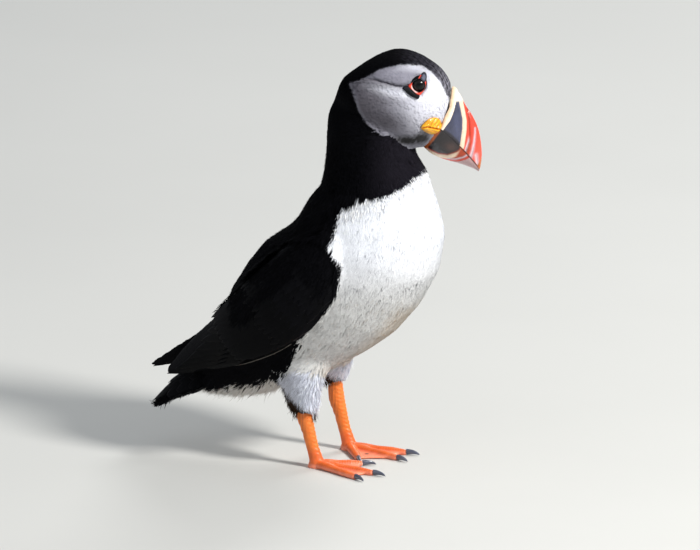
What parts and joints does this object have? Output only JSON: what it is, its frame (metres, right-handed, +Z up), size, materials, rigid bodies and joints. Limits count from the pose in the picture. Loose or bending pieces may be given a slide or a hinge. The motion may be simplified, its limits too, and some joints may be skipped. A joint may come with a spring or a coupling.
{
  "type": "life-size atlantic puffin display model",
  "caption": "Life-size still model of a standing Atlantic puffin, head turned to its left and bill lowered, with folded wings and webbed feet.",
  "frame": {"origin": "on the floor, below the middle of the bounding box", "axes": "+X the way the body faces, +Y the bird's left, +Z up"},
  "size_m": [0.1938, 0.1002, 0.2431],
  "materials": {
    "plumage_black": "black feathers with a faint blue sheen",
    "plumage_white": "soft white feathers, stained a little on the belly",
    "face": "very short pale lilac-grey feathers",
    "bill_red": "grooved orange-red horn with a slate base plate",
    "bill_slate": "dark slate horn with cream and orange bands towards the tip",
    "cere": "cream horny ridge",
    "rosette": "wrinkled yellow-orange skin at the gape",
    "eye": "wet, very dark brown eyeball",
    "eye_ring": "red skin round the eye",
    "eye_plate": "small blue-grey horny plates",
    "leg": "orange scaly skin",
    "web": "orange webs between the toes",
    "claw": "glossy black-slate horn"
  },
  "bodies": {
    "root": {"bill_lower": "bill_slate", "bill_upper": "bill_red", "cere": "cere", "claw_inner_left": "claw", "claw_inner_right": "claw", "claw_middle_left": "claw", "claw_middle_right": "claw", "claw_outer_left": "claw", "claw_outer_right": "claw", "eye_left": "eye", "eye_plate_lower_left": "eye_plate", "eye_plate_lower_right": "eye_plate", "eye_plate_upper_left": "eye_plate", "eye_plate_upper_right": "eye_plate", "eye_right": "eye", "eye_ring_left": "eye_ring", "eye_ring_right": "eye_ring", "foot_left": "web", "foot_right": "web", "head": "face", "neck": "plumage_black", "rosette_left": "rosette", "rosette_right": "rosette", "rump": "plumage_white", "shank_left": "leg", "shank_right": "leg", "tail": "plumage_black", "thigh_left": "plumage_white", "thigh_right": "plumage_white", "trunk": "plumage_white", "wing_left": "plumage_black", "wing_right": "plumage_black"}
  },
  "joints": []
}
